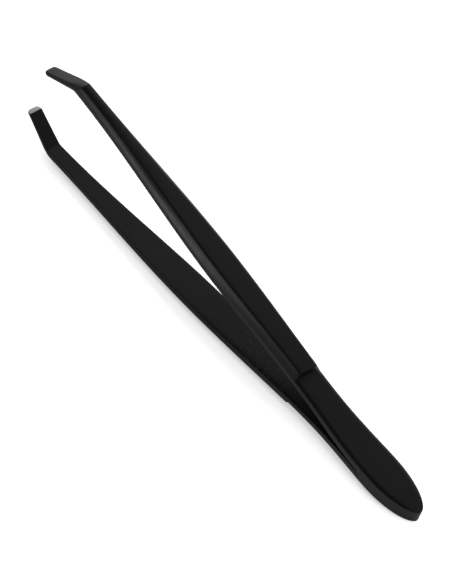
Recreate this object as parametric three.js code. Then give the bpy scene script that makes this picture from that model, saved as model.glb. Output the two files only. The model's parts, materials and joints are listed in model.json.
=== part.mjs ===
// Tweezers with bent claw tips: two sprung steel arms, welded together at the rounded butt.
//
// The arms are drawn open, as they spring, about a middle plane between them: x runs from the
// butt to the tips, y across the width and z away from the middle plane. The lower arm is the
// upper one mirrored. The finished pair is then laid down on the flat pad of its lower arm, so
// that in the part's own frame +Z is up, +X points to the tips, and the origin is the middle
// of that pad. Lengths are in millimetres and angles in degrees.

import * as THREE from "three";

// Lengths along the arm, from the end of the butt.
const SLIT_START = 11.3; // the weld ends here and the arms part
const FLEX_LINE = 20; // the sprung leaf bends about a line here
const STEP = 28.7; // the thin leaf steps up to the thick grip
const PAD_START = 42; // the grip's outer face is flat from here
const PAD_END = 60;
const BEND = 88.4; // the tip is bent inwards here

// How steeply the inner face leans away from the middle plane.
const LEAF_END = 22.7; // the spring's curve is over here
const LEAF_SLOPE = 7.9;
const PAD_SLOPE = 6.35;
const TIP_SLOPE = 4;

// Half-widths: the round butt, the waist behind the grip, the belly of the grip and the tip.
const BUTT = { x: 9.4, half: 3.37 };
const NOSE_POWER = 0.56; // 0.5 would make the end of the butt an ellipse; more makes it sharper
const WAIST = { x: 26.9, half: 2.67 };
const BELLY = { x: 49.8, half: 3.1 };
const TIP = { x: BEND, half: 1.4 };

// Thicknesses.
const SEAM = 0.2; // weld metal between the arms
const BUTT_SIDE = 1.05; // the height of the arm's side at the butt
const LEAF_SIDE = 0.72; // and at the thin end of the leaf
const LEAF_RISE = 0.3; // the leaf's middle is thicker than its sides by this much
const RISE_RUN = 4.5; // the butt gains that rise over this length
const GRIP_THICKNESS = 2.25; // at the step
const BEND_THICKNESS = 1.75;
const TIP_THICKNESS = 1; // the bent tip, where it leaves the bend
const END_THICKNESS = 0.55; // the bent tip, at its end

// The shoulders: a slope on each side, above an upright side strip.
const LEAF_INSET = 0.8;
const GRIP_INSET = 0.95;
const MOST_INSET = 0.45; // as a share of the half-width, where the arm is narrow
const STRIP_AT_STEP = 0.8;
const STRIP_AT_BEND = 0.85;
const TIP_INSET = 0.35;
const TIP_SHOULDER = 0.2; // the shoulders' height on the bent tip

// The bent tip and its ground end.
const TIP_LENGTH = 6.45;
const TIP_ANGLE = 26.4; // towards the middle plane
const TIP_NARROWING = 0.1; // of the half-width, along the bent tip
const SHOULDERS_END = 1; // the grip's shoulders run out this far past the bend
const END_FACE_ANGLE = 13; // between the ground end face and the middle plane
const GROUND_DEPTH = 0.3; // how much of the tip is bare steel

const CUT_GAP = 0.1; // between the two sides of the flex line
const CLEARANCE = 0.02; // between solids that touch
const WALL_RUN = 0.25; // the step's wall is nearly upright
const NOSE_START_ANGLE = 0.08; // leaves a small blunt face at the very end of the butt

// How many steps, from section to section, make up each stretch of the arm.
const NOSE_STEPS = 8;
const LEAF_STEPS = 5; // on each side of the flex line
const GRIP_REAR_STEPS = 4; // from the step to the flat pad
const GRIP_FRONT_STEPS = 9; // from the flat pad to the bend

const { degToRad, lerp, clamp, inverseLerp } = THREE.MathUtils;
const slopeOf = (degrees) => Math.tan(degToRad(degrees));
const share = (x, from, to) => clamp(inverseLerp(from, to, x), 0, 1);

// ---- The arm's outline and side profile, as functions of x ----

// Half the width: an elliptical nose, then smooth steps between the widest and narrowest places.
function halfWidth(x) {
  if (x < BUTT.x) {
    return BUTT.half * (1 - (1 - x / BUTT.x) ** 2) ** NOSE_POWER;
  }
  let half = BUTT.half;
  for (const [from, to] of [[BUTT, WAIST], [WAIST, BELLY], [BELLY, TIP]]) {
    half += (to.half - from.half) * THREE.MathUtils.smoothstep(x, from.x, to.x);
  }
  return half;
}

// Height gained between two places while the slope changes evenly from one value to another.
function climb(x, from, to, slopeFrom, slopeTo) {
  const run = clamp(x, from, to) - from;
  return run * slopeFrom + ((slopeTo - slopeFrom) * run * run) / (2 * (to - from));
}

// Height of the inner face: straight through the weld, the sprung curve, then a slight bow.
function innerHeight(x) {
  const leaf = slopeOf(LEAF_SLOPE);
  const pad = slopeOf(PAD_SLOPE);
  const tip = slopeOf(TIP_SLOPE);
  return (
    SEAM / 2 +
    climb(x, SLIT_START, LEAF_END, 0, leaf) +
    climb(x, LEAF_END, PAD_START, leaf, pad) +
    climb(x, PAD_START, PAD_END, pad, pad) +
    climb(x, PAD_END, BEND, pad, tip)
  );
}

const leafSide = (x) => lerp(BUTT_SIDE, LEAF_SIDE, share(x, SLIT_START, STEP));
const gripThickness = (x) => lerp(GRIP_THICKNESS, BEND_THICKNESS, share(x, STEP, BEND));
const stripHeight = (x) => lerp(STRIP_AT_STEP, STRIP_AT_BEND, share(x, STEP, BEND));

// ---- Cross-sections ----

// A section has its inner edge at (x, z), and its thickness runs along the outward direction
// (dx, dz). Its shoulders start at the strip's height and end at the outer face.
function section({ x, z, dx = 0, dz = 1, half, thickness, strip, inset }) {
  const corner = (y, depth) => new THREE.Vector3(x + dx * depth, y, z + dz * depth);
  return [
    corner(-half, 0),
    corner(half, 0),
    corner(half, strip),
    corner(half - inset, thickness),
    corner(inset - half, thickness),
    corner(-half, strip),
  ];
}

function leafSection(x) {
  const half = halfWidth(x);
  const strip = leafSide(x);
  return section({
    x,
    z: innerHeight(x),
    half,
    thickness: strip + LEAF_RISE * share(x, 0, RISE_RUN),
    strip,
    inset: Math.min(LEAF_INSET, MOST_INSET * half),
  });
}

function gripSection(x) {
  const half = halfWidth(x);
  return section({
    x,
    z: innerHeight(x),
    half,
    thickness: gripThickness(x),
    strip: stripHeight(x),
    inset: Math.min(GRIP_INSET, MOST_INSET * half),
  });
}

// The tip's own directions: along it, and out of its outer face.
const ALONG = new THREE.Vector3(Math.cos(degToRad(TIP_ANGLE)), 0, -Math.sin(degToRad(TIP_ANGLE)));
const OUTWARD = new THREE.Vector3(-ALONG.z, 0, ALONG.x);

// A section whose thickness runs along any outward vector, from a foot on the inner face.
function slantedSection(foot, outward, { half, strip, inset }) {
  const thickness = outward.length();
  const { x: dx, z: dz } = outward.clone().normalize();
  return section({ x: foot.x, z: foot.z, dx, dz, half, thickness, strip, inset });
}

// The section at the bend runs from the inner corner to the fold, where the outer face of the
// grip meets the outer face of the tip.
function bendSection() {
  const gripSlope = slopeOf(TIP_SLOPE);
  const taper = (TIP_THICKNESS - END_THICKNESS) / TIP_LENGTH;
  const tipFace = ALONG.clone().addScaledVector(OUTWARD, -taper);
  const start = OUTWARD.clone().multiplyScalar(TIP_THICKNESS);
  const above = BEND_THICKNESS + gripSlope * start.x - start.z;
  const fold = start.addScaledVector(tipFace, above / (tipFace.z - gripSlope * tipFace.x));
  return slantedSection(new THREE.Vector3(BEND, 0, innerHeight(BEND)), fold, {
    half: TIP.half,
    strip: STRIP_AT_BEND,
    inset: MOST_INSET * TIP.half,
  });
}

// A section across the tip, at a distance along it from the bend. Its outer edge can be moved
// ahead of its inner edge, which tilts the section.
function tipSection(distance, lead = 0) {
  const part = share(distance, 0, TIP_LENGTH);
  const depth = lerp(TIP_THICKNESS, END_THICKNESS, part);
  const foot = new THREE.Vector3(BEND, 0, innerHeight(BEND)).addScaledVector(ALONG, distance);
  const outward = OUTWARD.clone().multiplyScalar(depth).addScaledVector(ALONG, lead);
  return slantedSection(foot, outward, {
    half: TIP.half - TIP_NARROWING * part,
    strip: outward.length() - TIP_SHOULDER,
    inset: TIP_INSET,
  });
}

// How far the outer edge of the ground end face lies ahead of its inner edge.
const END_LEAD = END_THICKNESS / Math.tan(degToRad(TIP_ANGLE + END_FACE_ANGLE));

// ---- Solids ----

// A closed solid through a row of sections that all have the same number of corners.
function loft(sections) {
  const count = sections[0].length;
  const positions = sections.flat().flatMap((p) => p.toArray());
  const index = [];
  for (let s = 0; s + 1 < sections.length; s += 1) {
    for (let c = 0; c < count; c += 1) {
      const next = (c + 1) % count;
      const a = s * count + c;
      const b = s * count + next;
      index.push(a, b, b + count, a, b + count, a + count);
    }
  }
  const last = (sections.length - 1) * count;
  for (let c = 1; c + 1 < count; c += 1) {
    index.push(0, c + 1, c, last, last + c, last + c + 1);
  }
  const geometry = new THREE.BufferGeometry();
  geometry.setAttribute("position", new THREE.Float32BufferAttribute(positions, 3));
  geometry.setIndex(index);
  geometry.computeVertexNormals();
  return geometry;
}

// Evenly spaced values, both ends included.
function steps(from, to, count) {
  return Array.from({ length: count + 1 }, (_, i) => lerp(from, to, i / count));
}

// Places along the round nose, closer together where it turns fastest.
function nosePlaces() {
  const angles = steps(NOSE_START_ANGLE, Math.PI / 2, NOSE_STEPS);
  return angles.map((angle) => BUTT.x * (1 - Math.cos(angle)));
}

// The arm's rear end, from the butt to the flex line.
function armRoot() {
  const places = [...nosePlaces(), ...steps(SLIT_START, FLEX_LINE - CUT_GAP / 2, LEAF_STEPS)];
  return loft(places.map(leafSection));
}

// The rest of the arm: the front of the leaf, the grip and the bent tip, up to its ground end.
function arm() {
  return loft([
    ...steps(FLEX_LINE + CUT_GAP / 2, STEP, LEAF_STEPS).map(leafSection),
    ...steps(STEP + WALL_RUN, PAD_START, GRIP_REAR_STEPS).map(gripSection),
    ...steps(PAD_END, BEND, GRIP_FRONT_STEPS).slice(0, -1).map(gripSection),
    bendSection(),
    tipSection(SHOULDERS_END),
    tipSection(TIP_LENGTH - GROUND_DEPTH - CLEARANCE, END_LEAD),
  ]);
}

// The bare steel end of the tip.
function tipEnd() {
  return loft([tipSection(TIP_LENGTH - GROUND_DEPTH, END_LEAD), tipSection(TIP_LENGTH, END_LEAD)]);
}

// The weld metal between the two butts.
function weld() {
  const thickness = SEAM - 2 * CLEARANCE;
  const places = [...nosePlaces(), SLIT_START];
  return loft(
    places.map((x) =>
      section({ x, z: -thickness / 2, half: halfWidth(x), thickness, strip: thickness / 2, inset: 0 }),
    ),
  );
}

// ---- Materials ----

const blackCoating = new THREE.MeshStandardMaterial({ color: 0x1c1c1c, roughness: 0.45, metalness: 0.2 });
const bareSteel = new THREE.MeshStandardMaterial({ color: 0xb4b4b4, roughness: 0.35, metalness: 1 });

// ---- Assembly ----

function named(name, geometry, material) {
  const mesh = new THREE.Mesh(geometry, material);
  mesh.name = name;
  return mesh;
}

// One arm, with its bare steel end. It is cut in two at the flex line, where the leaf bends.
function armGroup(side) {
  const group = new THREE.Group();
  group.add(
    named(`${side}_arm_root`, armRoot(), blackCoating),
    named(`${side}_arm`, arm(), blackCoating),
    named(`${side}_tip_end`, tipEnd(), bareSteel),
  );
  return group;
}

const upperArm = armGroup("upper");
const lowerArm = armGroup("lower");
lowerArm.scale.z = -1;

const tweezers = new THREE.Group();
tweezers.add(upperArm, lowerArm, named("butt_weld", weld(), blackCoating));

// Lay the pair down on its lower pad, with the middle of the pad at the origin.
const outerHeight = (x) => innerHeight(x) + gripThickness(x);
const padLean = Math.atan2(outerHeight(PAD_END) - outerHeight(PAD_START), PAD_END - PAD_START);
const padMiddle = (PAD_START + PAD_END) / 2;
tweezers.position.set(-padMiddle, 0, outerHeight(padMiddle));

const part = new THREE.Group();
part.rotation.y = -padLean;
part.add(tweezers);

export default part;
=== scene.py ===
"""Looks for the claw tip tweezers: fine meshes, materials, a floor, lights and a camera.

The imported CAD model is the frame. Each arm is drawn in the arms' own frame, in millimetres:
x runs from the butt to the tips along the middle plane between the arms, y across the width
and z away from the middle plane. It is then placed by the record's joints and mounts.
"""
import json
import math
from typing import NamedTuple

import bmesh
import bpy
from mathutils import Matrix, Quaternion, Vector


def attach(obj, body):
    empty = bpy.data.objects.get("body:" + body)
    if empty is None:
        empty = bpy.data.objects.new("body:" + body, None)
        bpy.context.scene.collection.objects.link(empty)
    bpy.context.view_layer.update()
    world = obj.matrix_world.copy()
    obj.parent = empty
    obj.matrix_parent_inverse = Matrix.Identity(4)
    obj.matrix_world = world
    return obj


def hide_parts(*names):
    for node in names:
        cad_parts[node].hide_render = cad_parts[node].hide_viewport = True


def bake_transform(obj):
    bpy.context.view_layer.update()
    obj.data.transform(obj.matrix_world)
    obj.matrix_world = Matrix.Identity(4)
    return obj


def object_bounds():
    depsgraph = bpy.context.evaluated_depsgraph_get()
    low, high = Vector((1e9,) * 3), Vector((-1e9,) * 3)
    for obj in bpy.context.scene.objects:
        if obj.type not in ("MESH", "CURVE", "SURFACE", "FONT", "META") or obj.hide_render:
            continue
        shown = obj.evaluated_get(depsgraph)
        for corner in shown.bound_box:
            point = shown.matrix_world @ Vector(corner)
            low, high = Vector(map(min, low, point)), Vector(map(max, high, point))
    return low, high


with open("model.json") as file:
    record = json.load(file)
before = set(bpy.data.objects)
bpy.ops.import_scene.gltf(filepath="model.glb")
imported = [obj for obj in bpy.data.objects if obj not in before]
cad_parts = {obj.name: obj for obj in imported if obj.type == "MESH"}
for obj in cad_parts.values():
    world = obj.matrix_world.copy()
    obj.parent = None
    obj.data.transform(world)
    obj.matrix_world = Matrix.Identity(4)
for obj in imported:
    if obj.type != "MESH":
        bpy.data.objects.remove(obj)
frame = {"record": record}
cad_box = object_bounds()

MM = 0.001

# Lengths along the arm, from the end of the butt.
SLIT_START = 11.3
FLEX_LINE = 20
LEAF_END = 22.7  # the inner face leans most steeply here
STEP = 28.7
PAD_START = 42
PAD_END = 60
BEND = 88.4

# How steeply the inner face leans away from the middle plane.
LEAF_SLOPE = math.tan(math.radians(7.9))
PAD_SLOPE = math.tan(math.radians(6.35))
TIP_SLOPE = math.tan(math.radians(4))

# (place, half-width) of the butt, the waist, the belly of the grip, and the tip.
BUTT = (9.4, 3.37)
WAIST = (26.9, 2.67)
BELLY = (49.8, 3.1)
TIP = (BEND, 1.4)
NOSE_POWER = 0.56  # how blunt the nose is: 0.5 is an ellipse, and more is sharper

# Thicknesses.
BUTT_SIDE = 1.15  # the height of the arm's side at the butt
LEAF_SIDE = 0.75  # and at the thin end of the leaf
LEAF_RISE = 0.3  # the leaf's middle is thicker than its sides by this much
RISE_RUN = 4.5  # the butt gains that rise over this length
GRIP_SIDE = 0.8
BEND_SIDE = 0.85
GRIP_THICKNESS = 2.25
BEND_THICKNESS = 1.75
TIP_THICKNESS = 1
END_THICKNESS = 0.55
SLIT_HALF = 0.1  # half the gap between the arms where the slit starts
SLIT_RUN = 0.5  # the gap opens over this length

# Rounds and slopes of the section.
INNER_EDGE_ROUND = 0.12
STRIP_ROUND = 0.2
BULGE_ROUND = 1.5
LEAF_INSET = 0.7
GRIP_INSET = 0.9
BEND_INSET = 1.12
MOST_INSET = 0.45  # as a share of the half-width, where the arm is narrow
TIP_INSET = 0.35
LEAF_BULGE = 0.05
GRIP_BULGE = 0.03
TIP_BULGE = 0.02
LEAF_CROWN = 0.02
GRIP_CROWN = 0.03
BEND_CROWN = 0.14  # the outer face is nearly flat at the pad, and crowned towards the bend
TIP_CROWN = 0.02
LEAF_SHOULDER_ROUND = 2
GRIP_SHOULDER_ROUND = 0.7
BEND_SHOULDER_ROUND = 0.8
TIP_SHOULDER_ROUND = 0.4
TIP_STRIP = 0.62  # as a share of the tip's thickness
RIM = 1.15  # how far in from the outline the section's slopes and rounds reach
NOSE_AIM = 1.27  # the slopes of the nose run towards the middle line here or further on

# The step between the leaf and the grip.
WALL_RUN = 0.25
WALL_FOOT_ROUND = 0.4
WALL_TOP_ROUND = 0.12
STEP_CORNER = 0.3  # in plan, the outer face's corners at the step have this radius
FOOT_CORNER = 0.6  # and the feet of its shoulders this one
STEP_REACH = 1.2  # the stretch on each side of the wall that holds its rounds

# The bent tip. Distances are from the bend, along the tip.
TIP_LENGTH = 6.45
TIP_ANGLE = 26.4
TIP_NARROWING = 0.1
BEND_RUN = 1.6  # the stretch on each side of the bend that holds its rounds
OUTER_FOLD_ROUND = 0.5
INNER_FOLD_ROUND = 0.7
SHOULDERS = (-0.8, 1.4)  # the grip's shoulders turn into the tip's between these distances
END_FACE_ANGLE = 13
END_TILT_RUN = 1.8  # the sections lean over to the end face's angle along this much of the tip
END_CORNER = 0.26  # the end's corners are rounded by this much
END_CHAMFER = 0.02  # and its edges are broken by this much
GROUND_DEPTH = 0.07

# The weld between the butts.
WELD_DEPTH = 0.4
WELD_HOLLOW = 0.15
WELD_BITE = 0.03  # it reaches this far into the arms
WELD_STEP = 0.25  # between the points of its hollow face, as a share of its half-height

# Wear, from 0 on a plain face to 1 on a sharp edge. The press leaves the wall of the step
# rough and dull, which a value of its own marks.
SHOULDER_WEAR = 0.6
ROUGH_WALL = -1
ROUGH_FOOT = 0.2  # the roughness comes in along this share of the wall's height

# How finely the meshes are cut.
NOSE_RINGS = 26
NOSE_CROWDING = 1.2  # above 1, the nose's rings crowd towards its front
LEAF_SPACING = 0.5
GRIP_SPACING = 0.7
TIP_SPACING = 0.3
STEP_CORNER_SPACING = 0.08
END_CORNER_SPACING = 0.05
WALL_LEAD = 0.15  # the first ring past the rounds of the wall
TIP_LEAD = 0.5  # and past the round of the bend
EDGE_STEPS = 4
SHOULDER_STEPS = 8
WALL_FOOT_STEPS = 10
WALL_TOP_STEPS = 5
FOLD_STEPS = 8
MOST_OF_LINE = 0.48  # a round takes at most this share of a line, so two rounds fit on it
FACE_SHARES = (0, 0.35, 0.7)  # where the wide faces are split, from the middle outwards
MERGE_DISTANCE = 0.002
SLIVER_LENGTH = 0.001
SHARP_ANGLE = 38

# The coating. The butt is duller than the rest.
NOISE_SPAN = (0.3, 0.7)  # nearly all the values of a noise lie in this range
COATING_GREY = 0.0042
WORN_GREY = 0.03
RUB_SPAN = (0.56, 0.72)  # noise from the first value to the second turns into handling marks
RUB_STRETCH = (0.35, 1.6, 1)
EDGE_SPAN = (0.35, 0.7)  # and into the worn parts of the edges
RUB_SHARE = 0.058  # how far a rubbed place turns to the worn grey
EDGE_SHARE = 0.17  # and a worn edge
COATING_ROUGHNESS = (0.26, 0.31)
RUB_ROUGHNESS = 0.05
COATING_IOR = 1.4
GLOSS_STRETCH = (-40, 10)  # the gloss changes along this stretch of the part's x
GLOSS = (0.36, 0.5)
WALL_GLOSS = 0.35  # the rough wall of the step keeps this share of it
PEEL_HEIGHT = 0.004
PEEL_STRENGTH = 0.5

# The pale specks on the lower arm, and where they fade in and out along the part's x and z.
SPECK_SPAN = (0.53, 0.68)
SPECKS_START = (-26, -20)
SPECKS_END = (-13, -4)
SPECKS_TOP = (5, 6)

# The ground steel.
STEEL_GREYS = (0.62, 0.86)
STEEL_TONE = (0.25, 0.9)  # the share of the second grey, between the grooves and on them
STEEL_ROUGHNESS = (0.32, 0.45)
GROOVE_STRETCH = (14, 0.5, 14)
GROOVE_HEIGHT = 0.004
GROOVE_STRENGTH = 0.6

# The floor. The coating mirrors a tone that falls off along the part's x.
FLOOR_HALF = 3  # in metres, as are the sizes and distances of the lamps and the camera
MIRRORED_STRETCH = (-46, 0)
MIRRORED_TONE = (0.88, 0.54)
SEEN_TONE = 0.97
SEEN_GLOW = 0.465
PAPER_TONE = (0.98, 1)
PAPER_ROUGHNESS = 0.9

# The studio. Directions are an azimuth and an elevation in degrees, and the ranges are of one
# coordinate of a unit vector.
SKY = 0.34
HORIZON = 0.6
HORIZON_HEIGHT = (0.12, 0.5)
HORIZON_SIDE = (-0.5, 0.8)  # the horizon dims from the far side to the camera's side
NEAR_HORIZON = 0.2
BUTT_END = (-0.6, 0.1)  # and all of the light dims towards the butt's end
BUTT_END_LIGHT = 0.4
DARK_PATCH = (185, 75)
DARK_ANGLES = (20, 50)  # fully dark within the first angle, and gone at the second
DARK_LIGHT = 0.08

KEY_SIZE = 4
KEY_WATTS = 44
KEY_FROM = (-10, 75)
KEY_DISTANCE = 1.3

SIDE_BOX_SIZE = 0.066
SIDE_BOX_WATTS = 0.034
SIDE_BOX_AIM = Vector((19, 0, 14)) * MM
SIDE_BOX_FROM = (170, 26)
SIDE_BOX_DISTANCE = 0.18

CAMERA_AIM = Vector((-3.39, 0.17, 7.35)) * MM
CAMERA_FROM = (-145.24, 46.31)
CAMERA_ROLL = 18.1
CAMERA_DISTANCE = 1.497
CAMERA_LENS = 585.3
CAMERA_SENSOR = 36
CAMERA_CLIP = (0.1, 20)


def lerp(a, b, share):
    return a + (b - a) * share


def share_of(x, start, end):
    return min(max((x - start) / (end - start), 0), 1)


def smooth(x, start, end):
    share = share_of(x, start, end)
    return share * share * (3 - 2 * share)


def spaced(start, end, spacing):
    """Evenly spaced values, both ends included, at most the spacing apart."""
    count = max(1, math.ceil(abs((end - start) / spacing)))
    return [lerp(start, end, i / count) for i in range(count + 1)]


# ---- The arm's outline and side profile ----

def half_width(x):
    if x < BUTT[0]:
        return BUTT[1] * (1 - (1 - x / BUTT[0]) ** 2) ** NOSE_POWER
    half = BUTT[1]
    for (start, before), (end, after) in ((BUTT, WAIST), (WAIST, BELLY), (BELLY, TIP)):
        half += (after - before) * smooth(x, start, end)
    return half


def climb(x, start, end, slope_before, slope_after):
    """Height gained between two places while the slope changes evenly."""
    run = min(max(x, start), end) - start
    return run * slope_before + (slope_after - slope_before) * run * run / (2 * (end - start))


def slit_gap(x):
    return SLIT_HALF * smooth(x, SLIT_START, SLIT_START + SLIT_RUN)


def inner_height(x):
    return (slit_gap(x)
            + climb(x, SLIT_START, LEAF_END, 0, LEAF_SLOPE)
            + climb(x, LEAF_END, PAD_START, LEAF_SLOPE, PAD_SLOPE)
            + climb(x, PAD_START, PAD_END, PAD_SLOPE, PAD_SLOPE)
            + climb(x, PAD_END, BEND, PAD_SLOPE, TIP_SLOPE))


class Shape(NamedTuple):
    """A cross-section: an upright side strip, a sloped shoulder and a flat outer face."""
    half: float
    thickness: float
    strip: float  # the strip's height
    inset: float  # how far the shoulder leans in
    bulge: float  # how far the middle of the shoulder stands proud
    crown: float  # how far the edges of the outer face fall away
    round: float  # radius between the shoulder and the outer face
    edge: float = INNER_EDGE_ROUND  # radius of the inner edge
    foot: float = 0  # how far the shoulder's foot stands in from the strip, on a ledge

    def mixed(self, other, share):
        return Shape(*(lerp(a, b, share) for a, b in zip(self, other)))


def corner_cut(gap, radius):
    """How far a corner's round has cut into an edge, at a distance from the edge's end."""
    share = 1 - share_of(gap, 0, radius)
    return radius * (1 - math.sqrt(1 - share * share))


def leaf_shape(x):
    side = lerp(BUTT_SIDE, SLIT_HALF + LEAF_SIDE, share_of(x, SLIT_START, STEP)) - slit_gap(x)
    return Shape(
        half_width(x),
        thickness=side + LEAF_RISE * share_of(x, 0, RISE_RUN),
        strip=side,
        inset=LEAF_INSET,
        bulge=LEAF_BULGE,
        crown=LEAF_CROWN,
        round=LEAF_SHOULDER_ROUND,
        edge=INNER_EDGE_ROUND * smooth(x, SLIT_START, SLIT_START + SLIT_RUN),
    )


def grip_shape(x):
    along = share_of(x, STEP, BEND)
    half = half_width(x)
    behind_wall = x - STEP - WALL_RUN
    return Shape(
        half,
        thickness=lerp(GRIP_THICKNESS, BEND_THICKNESS, along),
        strip=lerp(GRIP_SIDE, BEND_SIDE, along),
        inset=(min(lerp(GRIP_INSET, BEND_INSET, along), MOST_INSET * half)
               + corner_cut(behind_wall, STEP_CORNER)),
        bulge=GRIP_BULGE,
        crown=lerp(GRIP_CROWN, BEND_CROWN, smooth(x, PAD_END, BEND)),
        round=lerp(GRIP_SHOULDER_ROUND, BEND_SHOULDER_ROUND, along),
        foot=corner_cut(behind_wall, FOOT_CORNER),
    )


def tip_shape(distance, thickness):
    narrowed = TIP[1] - TIP_NARROWING * share_of(distance, 0, TIP_LENGTH)
    return Shape(
        narrowed - corner_cut(TIP_LENGTH - distance, END_CORNER),
        thickness,
        strip=TIP_STRIP * thickness,
        inset=TIP_INSET,
        bulge=TIP_BULGE,
        crown=TIP_CROWN,
        round=TIP_SHOULDER_ROUND,
    )


# ---- Sections as loops of points ----

class Corner(NamedTuple):
    """A corner of a half section, and the radius, the steps and the wear of its round."""
    place: Vector
    radius: float = 0
    steps: int = 0
    wear: float = 0


class Mark(NamedTuple):
    """A point of a half section: across the width, out through the thickness, and its wear."""
    y: float
    depth: float
    wear: float = 0


def fillet(before, corner, after, radius, steps):
    """Points of a round that touches the two lines of a corner. Its ends stay on the lines."""
    to_before = (before - corner).normalized()
    to_after = (after - corner).normalized()
    half_angle = to_before.angle(to_after) / 2
    room = MOST_OF_LINE * min((before - corner).length, (after - corner).length)
    reach = min(radius / math.tan(half_angle), room)
    middle = (to_before + to_after).normalized()
    aside = (to_before - middle * to_before.dot(middle)).normalized()
    centre = corner + middle * (reach / math.cos(half_angle))
    made_radius = reach * math.tan(half_angle)
    sweep = math.pi / 2 - half_angle
    angles = [lerp(sweep, -sweep, i / steps) for i in range(steps + 1)]
    return [centre + (aside * math.sin(a) - middle * math.cos(a)) * made_radius for a in angles]


def section_corners(shape):
    """The corners from the middle of the inner face round to the middle of the outer face."""
    strip_top = Vector((shape.half, shape.strip))
    shoulder_top = Vector((shape.half - shape.inset, shape.thickness - shape.crown))
    slope = (shoulder_top - strip_top).normalized()
    bulge = (strip_top + shoulder_top) / 2 + Vector((slope.y, -slope.x)) * shape.bulge
    foot = strip_top + Vector((-1, LEAF_RISE / LEAF_INSET)) * shape.foot
    return [
        Corner(Vector((0, 0))),
        Corner(Vector((shape.half, 0)), shape.edge, EDGE_STEPS, wear=1),
        Corner(strip_top, STRIP_ROUND, EDGE_STEPS, wear=1),
        Corner(bulge.lerp(foot, shape.foot / FOOT_CORNER), BULGE_ROUND, EDGE_STEPS),
        Corner(shoulder_top, shape.round, SHOULDER_STEPS, SHOULDER_WEAR),
        Corner(Vector((0, shape.thickness))),
    ]


def half_section(shape):
    """Marks from the middle of the inner face round the edge to the middle of the outer face."""
    corners = section_corners(shape)
    marks = [Mark(0, 0)]
    for before, corner, after in zip(corners, corners[1:], corners[2:]):
        points = fillet(before.place, corner.place, after.place, corner.radius, corner.steps)
        for i, point in enumerate(points):
            wear = corner.wear * math.sin(math.pi * i / corner.steps)
            marks.append(Mark(point.x, point.y, wear))
    marks.append(Mark(0, shape.thickness))
    return split_faces(marks)


def split_faces(marks):
    """Adds points along the wide inner and outer faces, which bend and crown with the arm."""
    first, second, before_last, last = marks[0], marks[1], marks[-2], marks[-1]
    inner = [Mark(second.y * s, first.depth) for s in FACE_SHARES]
    outer = [Mark(before_last.y * s, lerp(last.depth, before_last.depth, s * s))
             for s in reversed(FACE_SHARES)]
    return inner + marks[1:-1] + outer


def loop_of(half_points):
    """A closed loop from the points of one half, mirrored for the other half."""
    mirrored = [Vector((p.x, -p.y, p.z)) for p in reversed(half_points[1:-1])]
    return half_points + mirrored


def wear_of(marks):
    return [m.wear for m in marks] + [m.wear for m in reversed(marks[1:-1])]


def flat_ring(foot, outward, shape):
    """The loop of a section that stands on a foot of the inner face, towards outward."""
    marks = half_section(shape)
    direction = outward.normalized()
    points = [Vector((foot.x + direction.x * m.depth, m.y, foot.y + direction.y * m.depth))
              for m in marks]
    return loop_of(points), wear_of(marks)


def nose_ring(angle):
    """A loop of the round nose. Its slopes run straight in from the outline, not along y."""
    length, half = BUTT
    edge = Vector((length * (1 - math.cos(angle)), half * math.sin(angle) ** (2 * NOSE_POWER)))
    fall = 2 * NOSE_POWER * math.sin(angle) ** (4 * NOSE_POWER - 2) * math.cos(angle)
    meeting = Vector((max(edge.x + fall * half * half / length, NOSE_AIM), 0))
    inwards = (meeting - edge).normalized()
    rim = edge + inwards * RIM
    wide = leaf_shape(length)
    marks = half_section(wide)
    points = []
    for mark in marks:
        inset = half - mark.y
        if inset < RIM:
            place = edge + inwards * inset
        else:
            place = Vector((rim.x, rim.y * mark.y / (half - RIM)))
        missing = wide.thickness - leaf_shape(place.x).thickness
        depth = mark.depth - missing * share_of(mark.depth, wide.strip, wide.thickness)
        points.append(Vector((place.x, place.y, depth)))
    return loop_of(points), wear_of(marks)


# ---- The rings of one arm ----

def nose_rings():
    shares = [i / NOSE_RINGS for i in range(NOSE_RINGS + 1)]
    return [nose_ring(math.pi / 2 * share ** NOSE_CROWDING) for share in shares]


def upright_ring(x, shape):
    return flat_ring(Vector((x, inner_height(x))), Vector((0, 1)), shape)


def leaf_rings(places):
    return [upright_ring(x, leaf_shape(x)) for x in places]


def grip_rings(places):
    return [upright_ring(x, grip_shape(x)) for x in places]


def step_stations():
    """Points across the step in side view. The face turns up in a round, and over at the top."""
    low = leaf_shape(STEP).thickness
    high = grip_shape(STEP + WALL_RUN).thickness
    path = [
        Vector((STEP - STEP_REACH, low)),
        Vector((STEP, low)),
        Vector((STEP + WALL_RUN, high)),
        Vector((STEP + WALL_RUN + STEP_REACH, high)),
    ]
    foot = fillet(*path[0:3], WALL_FOOT_ROUND, WALL_FOOT_STEPS)
    top = fillet(*path[1:4], WALL_TOP_ROUND, WALL_TOP_STEPS)
    return [(point.x, (point.y - low) / (high - low)) for point in foot + top]


def step_rings():
    """Across the step, from the leaf's section to the grip's, with the wall marked as rough."""
    rings = []
    for x, share in step_stations():
        grip = grip_shape(x)
        shape = leaf_shape(x).mixed(grip, share)._replace(foot=grip.foot)
        points, wear = upright_ring(x, shape)
        if 0 < share < 1:
            side_top = inner_height(x) + shape.strip
            rough = smooth(share, 0, ROUGH_FOOT)
            wear = [
                lerp(w, ROUGH_WALL, rough)
                if p.z > side_top and abs(p.y) < shape.half - shape.foot else w
                for p, w in zip(points, wear)]
        rings.append((points, wear))
    return rings


# In side view, the tip's direction, the way out of its inner face, and how far the outer edge
# of the end leads the inner one.
ALONG = Vector((math.cos(math.radians(TIP_ANGLE)), -math.sin(math.radians(TIP_ANGLE))))
OUTWARD = Vector((-ALONG.y, ALONG.x))
END_LEAD = END_THICKNESS / math.tan(math.radians(TIP_ANGLE + END_FACE_ANGLE))


def bend_foot():
    return Vector((BEND, inner_height(BEND)))


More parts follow.
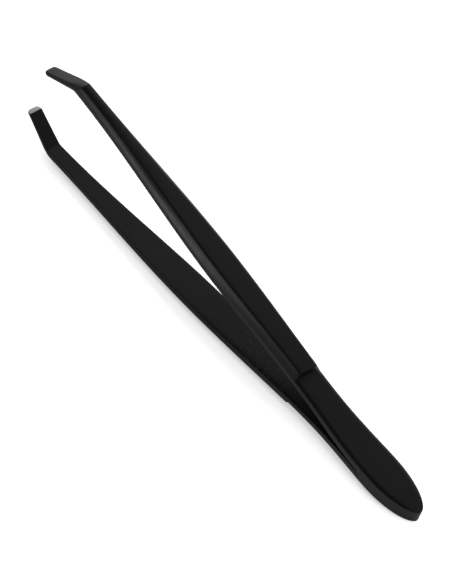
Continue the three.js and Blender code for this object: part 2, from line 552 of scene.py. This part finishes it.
def tip_thickness(distance):
    return lerp(TIP_THICKNESS, END_THICKNESS, share_of(distance, 0, TIP_LENGTH))


def tip_place(distance):
    """(foot, outward) of the tip's section at a distance from the bend."""
    lead = END_LEAD * smooth(distance, TIP_LENGTH - END_TILT_RUN, TIP_LENGTH)
    return bend_foot() + ALONG * distance, OUTWARD * tip_thickness(distance) + ALONG * lead


def fold_corner():
    """Where the outer faces of the grip and the tip meet, seen from the side."""
    taper = (TIP_THICKNESS - END_THICKNESS) / TIP_LENGTH
    tip_face = ALONG - OUTWARD * taper
    start = OUTWARD * TIP_THICKNESS
    above = BEND_THICKNESS + TIP_SLOPE * start.x - start.y
    return bend_foot() + start + tip_face * (above / (tip_face.y - TIP_SLOPE * tip_face.x))


def bend_rings():
    """Round the bend: the inner and outer corners are rounded, ring by ring together."""
    near = BEND - BEND_RUN
    inner_near = Vector((near, inner_height(near)))
    outer_near = inner_near + Vector((0, grip_shape(near).thickness))
    foot, outward = tip_place(BEND_RUN)
    inner = fillet(inner_near, bend_foot(), foot, INNER_FOLD_ROUND, FOLD_STEPS)
    outer = fillet(outer_near, fold_corner(), foot + outward, OUTER_FOLD_ROUND, FOLD_STEPS)
    shape = grip_shape(BEND)
    return [flat_ring(low, high - low, shape._replace(thickness=(high - low).length))
            for low, high in zip(inner, outer)]


def tip_ring(distance):
    foot, outward = tip_place(distance)
    tip = tip_shape(distance, outward.length)
    late = grip_shape(BEND)._replace(thickness=tip.thickness, half=tip.half, strip=tip.strip)
    return flat_ring(foot, outward, late.mixed(tip, smooth(distance, *SHOULDERS)))


def arm_rings():
    wall = STEP + WALL_RUN
    corners_end = wall + FOOT_CORNER
    corner_start = TIP_LENGTH - END_CORNER
    tip_places = [
        *spaced(TIP_LEAD, corner_start, TIP_SPACING),
        *spaced(corner_start, TIP_LENGTH - GROUND_DEPTH, END_CORNER_SPACING)[1:],
    ]
    return [
        *nose_rings(),
        *leaf_rings(spaced(BUTT[0], STEP - STEP_REACH, LEAF_SPACING)[1:]),
        *step_rings(),
        *grip_rings(spaced(wall + WALL_LEAD, corners_end, STEP_CORNER_SPACING)),
        *grip_rings(spaced(corners_end, BEND - BEND_RUN, GRIP_SPACING)[1:]),
        *bend_rings(),
        *(tip_ring(distance) for distance in tip_places),
    ]


# ---- Meshes ----

def add_object(name, data):
    made = bpy.data.objects.new(name, data)
    bpy.context.scene.collection.objects.link(made)
    return made


def arms_frame():
    """The arms' own frame, placed by the record: the middle plane halves the angle between
    the pads' normals, and passes halfway between the two flex lines."""
    record = frame["record"]
    normals = {m["name"]: Vector(m["axis"]) for m in record["mounts"]}
    flexes = [Vector(j["pos_m"]) for j in record["behaviour"]["joints"]]
    up = (normals["upper_pad"].normalized() - normals["rest_pad"].normalized()).normalized()
    across = Vector((0, 1, 0))
    forward = across.cross(up)
    origin = (flexes[0] + flexes[1]) / 2 - forward * (FLEX_LINE * MM)
    axes = Matrix((forward, across, up)).transposed().to_4x4()
    return Matrix.Translation(origin) @ axes @ Matrix.Scale(MM, 4)


ARMS = arms_frame()


def mesh_of(name, rings, side, material, pinched=False):
    """A closed mesh through the rings. side is 1 for the upper arm and -1 for the lower one.
    A pinched first ring has no width, so it closes itself and has no end face."""
    count = len(rings[0][0])
    last = (len(rings) - 1) * count
    points = [ARMS @ Vector((p.x, p.y, p.z * side)) for ring, _ in rings for p in ring]
    faces = []
    for start in range(0, last, count):
        for i in range(count):
            a, b = start + i, start + (i + 1) % count
            faces.append((a, b, b + count, a + count))
    if not pinched:
        faces.append(tuple(range(count - 1, -1, -1)))
    faces.append(tuple(range(last, last + count)))
    mesh = bpy.data.meshes.new(name)
    mesh.from_pydata(points, [], faces)
    wear = mesh.attributes.new("wear", "FLOAT", "POINT")
    wear.data.foreach_set("value", [w for _, ring_wear in rings for w in ring_wear])
    mesh.materials.append(material)
    clean(mesh)
    return add_object(name, mesh)


def clean(mesh):
    """Merges the points that meet at the nose, turns the faces outwards and shades them."""
    shell = bmesh.new()
    shell.from_mesh(mesh)
    bmesh.ops.remove_doubles(shell, verts=shell.verts, dist=MERGE_DISTANCE * MM)
    bmesh.ops.dissolve_degenerate(shell, edges=shell.edges, dist=SLIVER_LENGTH * MM)
    bmesh.ops.recalc_face_normals(shell, faces=shell.faces)
    shell.to_mesh(mesh)
    shell.free()
    mesh.shade_smooth()
    mesh.set_sharp_from_angle(angle=math.radians(SHARP_ANGLE))


# ---- Material nodes ----

def node(tree, kind, inputs=(), **settings):
    """A new node with its settings and unlinked inputs filled in."""
    made = tree.nodes.new(kind)
    for key, value in settings.items():
        setattr(made, key, value)
    for key, value in dict(inputs).items():
        made.inputs[key].default_value = value
    return made


def new_material(name):
    material = bpy.data.materials.new(name)
    material.use_nodes = True
    tree = material.node_tree
    return material, tree, tree.nodes["Principled BSDF"]


def millimetres(tree, stretch=(1, 1, 1)):
    """Object coordinates in millimetres, stretched along the part's axes."""
    place = node(tree, "ShaderNodeTexCoord")
    scale = node(tree, "ShaderNodeVectorMath", operation="MULTIPLY")
    scale.inputs[1].default_value = [s / MM for s in stretch]
    tree.links.new(place.outputs["Object"], scale.inputs[0])
    return scale.outputs["Vector"]


def coordinate(tree, vector, axis):
    """One coordinate of a vector, by its letter."""
    parts = node(tree, "ShaderNodeSeparateXYZ")
    tree.links.new(vector, parts.inputs[0])
    return parts.outputs[axis]


def noise(tree, vector, scale, detail=3, roughness=0.5):
    made = node(tree, "ShaderNodeTexNoise", {"Scale": scale, "Detail": detail, "Roughness": roughness})
    tree.links.new(vector, made.inputs["Vector"])
    return made.outputs["Fac"]


def ranged(tree, value, before, after, **settings):
    """Maps a value from the range before to the range after, and holds it within that."""
    made = node(tree, "ShaderNodeMapRange", {
        "From Min": before[0], "From Max": before[1], "To Min": after[0], "To Max": after[1],
    }, **settings)
    tree.links.new(value, made.inputs["Value"])
    return made.outputs["Result"]


def combined(tree, operation, *values):
    """Combines node outputs and plain numbers, two at a time from the first on."""
    result = values[0]
    for value in values[1:]:
        made = node(tree, "ShaderNodeMath", operation=operation)
        for socket, source in zip(made.inputs, (result, value)):
            if isinstance(source, (int, float)):
                socket.default_value = source
            else:
                tree.links.new(source, socket)
        result = made.outputs["Value"]
    return result


def blended(tree, share, first, second):
    """A colour between two greys."""
    made = node(tree, "ShaderNodeMix", data_type="RGBA")
    tree.links.new(share, made.inputs["Factor"])
    made.inputs["A"].default_value = (first, first, first, 1)
    made.inputs["B"].default_value = (second, second, second, 1)
    return made.outputs["Result"]


def bumped(tree, height, distance, strength):
    made = node(tree, "ShaderNodeBump", {"Distance": distance * MM, "Strength": strength})
    tree.links.new(height, made.inputs["Height"])
    return made.outputs["Normal"]


# ---- Materials ----

def specks(tree, place):
    """Fine pale specks on the lower arm, in front of the step."""
    spots = ranged(tree, noise(tree, place, scale=2.4, detail=4, roughness=0.7), SPECK_SPAN, (0, 1))
    along = coordinate(tree, place, "X")
    started = ranged(tree, along, SPECKS_START, (0, 1))
    not_ended = ranged(tree, along, SPECKS_END, (1, 0))
    low = ranged(tree, coordinate(tree, place, "Z"), SPECKS_TOP, (1, 0))
    return combined(tree, "MULTIPLY", started, not_ended, low, spots)


def rubs(tree):
    """Faint handling marks, drawn out along the arms."""
    marks = noise(tree, millimetres(tree, RUB_STRETCH), scale=1.1, detail=5, roughness=0.65)
    return ranged(tree, marks, RUB_SPAN, (0, 1))


def coating_colour(tree, place, wear, rubbed):
    """Black, and lighter where it is rubbed, at the worn parts of the edges and in the specks."""
    patches = ranged(tree, noise(tree, place, scale=1.7, detail=4), EDGE_SPAN, (0, 1))
    lighter = combined(
        tree, "MAXIMUM",
        combined(tree, "MULTIPLY", rubbed, RUB_SHARE),
        combined(tree, "MULTIPLY", wear, patches, EDGE_SHARE),
        specks(tree, place),
    )
    return blended(tree, lighter, COATING_GREY, WORN_GREY)


def coating_roughness(tree, place, rubbed):
    blotches = ranged(tree, noise(tree, place, scale=0.4), NOISE_SPAN, COATING_ROUGHNESS)
    return combined(tree, "ADD", blotches, combined(tree, "MULTIPLY", rubbed, RUB_ROUGHNESS))


def coating_gloss(tree, place, wear):
    along = ranged(tree, coordinate(tree, place, "X"), GLOSS_STRETCH, GLOSS)
    wall = ranged(tree, wear, (ROUGH_WALL, 0), (WALL_GLOSS, 1))
    return combined(tree, "MULTIPLY", along, wall)


def black_coating():
    """Satin black baked coating: fine orange peel, faint handling marks, and thinner edges."""
    material, tree, shader = new_material("black_coating")
    place = millimetres(tree)
    wear = node(tree, "ShaderNodeAttribute", attribute_name="wear").outputs["Fac"]
    rubbed = rubs(tree)
    peel = noise(tree, place, scale=7, detail=4, roughness=0.6)
    tree.links.new(coating_colour(tree, place, wear, rubbed), shader.inputs["Base Color"])
    tree.links.new(coating_roughness(tree, place, rubbed), shader.inputs["Roughness"])
    tree.links.new(coating_gloss(tree, place, wear), shader.inputs["Specular IOR Level"])
    tree.links.new(bumped(tree, peel, PEEL_HEIGHT, PEEL_STRENGTH), shader.inputs["Normal"])
    shader.inputs["IOR"].default_value = COATING_IOR
    return material


def bare_steel():
    """Steel fresh from the grinding wheel: fine lines across the tip."""
    material, tree, shader = new_material("bare_steel")
    lines = noise(tree, millimetres(tree, GROOVE_STRETCH), scale=2.2, detail=4, roughness=0.6)
    patches = noise(tree, millimetres(tree), scale=2.5)
    tone = ranged(tree, lines, NOISE_SPAN, STEEL_TONE)
    roughness = ranged(tree, patches, NOISE_SPAN, STEEL_ROUGHNESS)
    tree.links.new(blended(tree, tone, *STEEL_GREYS), shader.inputs["Base Color"])
    tree.links.new(roughness, shader.inputs["Roughness"])
    tree.links.new(bumped(tree, lines, GROOVE_HEIGHT, GROOVE_STRENGTH), shader.inputs["Normal"])
    shader.inputs["Metallic"].default_value = 1
    return material


def pale_floor():
    """White paper, overexposed: the camera sees it lighter than the coating mirrors it.
    What the coating mirrors is brightest under the butt."""
    material, tree, shader = new_material("pale_floor")
    seen = node(tree, "ShaderNodeLightPath").outputs["Is Camera Ray"]
    place = millimetres(tree)
    paper = ranged(tree, noise(tree, place, scale=0.02), NOISE_SPAN, PAPER_TONE)
    mirrored = ranged(tree, coordinate(tree, place, "X"), MIRRORED_STRETCH, MIRRORED_TONE)
    tone = node(tree, "ShaderNodeMix", {"B": SEEN_TONE}, data_type="FLOAT")
    tree.links.new(seen, tone.inputs["Factor"])
    tree.links.new(mirrored, tone.inputs["A"])
    lit = combined(tree, "MULTIPLY", paper, tone.outputs["Result"])
    tree.links.new(lit, shader.inputs["Base Color"])
    glow = combined(tree, "MULTIPLY", seen, SEEN_GLOW)
    tree.links.new(glow, shader.inputs["Emission Strength"])
    shader.inputs["Emission Color"].default_value = (1, 1, 1, 1)
    shader.inputs["Roughness"].default_value = PAPER_ROUGHNESS
    shader.inputs["Specular IOR Level"].default_value = 0
    return material


# ---- Pieces ----


def build_arm(which, side, coating):
    """One arm from the butt to the ground end of its tip."""
    body = f"{which}_arm"
    piece = mesh_of(f"{body}_shell", arm_rings(), side, coating, pinched=True)
    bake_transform(piece)
    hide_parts(f"{body}_root", body)


def tip_end_ring(distance, chamfer):
    """A loop of the ground end, drawn in all round by the chamfer."""
    foot, outward = tip_place(distance)
    shape = tip_shape(distance, outward.length)
    smaller = shape._replace(
        half=shape.half - chamfer,
        thickness=shape.thickness - 2 * chamfer,
        strip=shape.strip - 2 * chamfer,
    )
    return flat_ring(foot + outward.normalized() * chamfer, outward, smaller)


def build_tip_end(which, side, steel):
    """The ground end of a tip: bare steel with broken edges."""
    rings = [
        tip_end_ring(TIP_LENGTH - GROUND_DEPTH, 0),
        tip_end_ring(TIP_LENGTH - END_CHAMFER, 0),
        tip_end_ring(TIP_LENGTH, END_CHAMFER),
    ]
    piece = mesh_of(f"{which}_arm_ground_end", rings, side, steel)
    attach(piece, f"{which}_arm")
    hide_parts(f"{which}_tip_end")


def build_weld(coating):
    """The weld's hollow face, between the arms where the slit starts."""
    front = SLIT_START + SLIT_RUN
    gap = inner_height(front) + WELD_BITE
    side = half_width(front) - WELD_BITE
    face = [Vector((front - WELD_HOLLOW * (1 - t * t), 0, gap * t)) for t in spaced(1, -1, WELD_STEP)]
    back = [Vector((front - WELD_DEPTH, 0, z)) for z in (-gap, gap)]
    loop = face + back
    rings = [([p + Vector((0, y, 0)) for p in loop], [0] * len(loop)) for y in (-side, 0, side)]
    piece = mesh_of("weld_face", rings, 1, coating)
    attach(piece, "butt")
    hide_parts("butt_weld")


def build_part():
    coating = black_coating()
    steel = bare_steel()
    for which, side in (("upper", 1), ("lower", -1)):
        build_arm(which, side, coating)
        build_tip_end(which, side, steel)
    build_weld(coating)


# ---- Studio ----

def build_floor():
    """A wide flat floor, at the height that the part rests on."""
    mesh = bpy.data.meshes.new("floor")
    corners = [Vector((x * FLOOR_HALF, y * FLOOR_HALF, cad_box[0].z))
               for x, y in ((-1, -1), (1, -1), (1, 1), (-1, 1))]
    mesh.from_pydata(corners, [], [(0, 1, 2, 3)])
    mesh.materials.append(pale_floor())
    add_object("floor", mesh)


def direction(azimuth, elevation):
    """A unit vector. Azimuth 0 points to -Y and 90 to +X, in degrees."""
    a, e = math.radians(azimuth), math.radians(elevation)
    return Vector((math.sin(a) * math.cos(e), -math.cos(a) * math.cos(e), math.sin(e)))


def point_at(thing, aim, angles, distance, roll=0):
    """Places a light or a camera at a distance from its aim, and turns it to face the aim."""
    back = direction(*angles)
    level = (-back).to_track_quat("-Z", "Y")
    thing.location = aim + back * distance
    thing.rotation_mode = "QUATERNION"
    thing.rotation_quaternion = level @ Quaternion((0, 0, 1), math.radians(roll))


def lobe(tree, towards, angles, inner, outer):
    """1 within the inner angle of a direction, falling smoothly to 0 at the outer angle."""
    dot = node(tree, "ShaderNodeVectorMath", operation="DOT_PRODUCT")
    dot.inputs[1].default_value = direction(*angles)
    tree.links.new(towards, dot.inputs[0])
    cosines = [math.cos(math.radians(angle)) for angle in (outer, inner)]
    return ranged(tree, dot.outputs["Value"], cosines, (0, 1), interpolation_type="SMOOTHSTEP")


def build_world():
    """A dim ceiling with a dark patch, and a horizon that is brightest on the far side."""
    world = bpy.data.worlds.new("studio")
    world.use_nodes = True
    bpy.context.scene.world = world
    tree = world.node_tree
    towards = node(tree, "ShaderNodeTexCoord").outputs["Generated"]
    horizon = combined(
        tree, "MULTIPLY",
        ranged(tree, coordinate(tree, towards, "Z"), HORIZON_HEIGHT, (HORIZON, 0)),
        ranged(tree, coordinate(tree, towards, "Y"), HORIZON_SIDE, (1, NEAR_HORIZON)),
    )
    light = combined(
        tree, "MULTIPLY",
        combined(tree, "ADD", SKY, horizon),
        ranged(tree, coordinate(tree, towards, "X"), BUTT_END, (BUTT_END_LIGHT, 1)),
        ranged(tree, lobe(tree, towards, DARK_PATCH, *DARK_ANGLES), (0, 1), (1, DARK_LIGHT)),
    )
    background = tree.nodes["Background"]
    tree.links.new(light, background.inputs["Strength"])
    background.inputs["Color"].default_value = (1, 1, 1, 1)


def soft_lamp(name, size, watts):
    """A round area light that the camera doesn't see."""
    data = bpy.data.lights.new(name, "AREA")
    data.shape = "DISK"
    data.size = size
    data.energy = watts
    lamp = add_object(name, data)
    lamp.visible_camera = False
    return lamp


def build_key():
    """A very large soft light overhead. It lights the floor, and isn't mirrored in the coating."""
    lamp = soft_lamp("key", KEY_SIZE, KEY_WATTS)
    point_at(lamp, Vector((0, 0, 0)), KEY_FROM, KEY_DISTANCE)
    lamp.visible_glossy = False


def build_side_box():
    """A small soft box on the camera's side, which only shows as a reflection in the part."""
    lamp = soft_lamp("side_box", SIDE_BOX_SIZE, SIDE_BOX_WATTS)
    point_at(lamp, SIDE_BOX_AIM, SIDE_BOX_FROM, SIDE_BOX_DISTANCE)
    lamp.visible_diffuse = False


def build_camera():
    data = bpy.data.cameras.new("camera")
    data.lens = CAMERA_LENS
    data.sensor_width = CAMERA_SENSOR
    data.clip_start, data.clip_end = CAMERA_CLIP
    camera = add_object("camera", data)
    point_at(camera, CAMERA_AIM, CAMERA_FROM, CAMERA_DISTANCE, CAMERA_ROLL)
    bpy.context.scene.camera = camera


build_part()
build_floor()
build_world()
build_key()
build_side_box()
build_camera()
bpy.context.scene.view_settings.view_transform = "Standard"
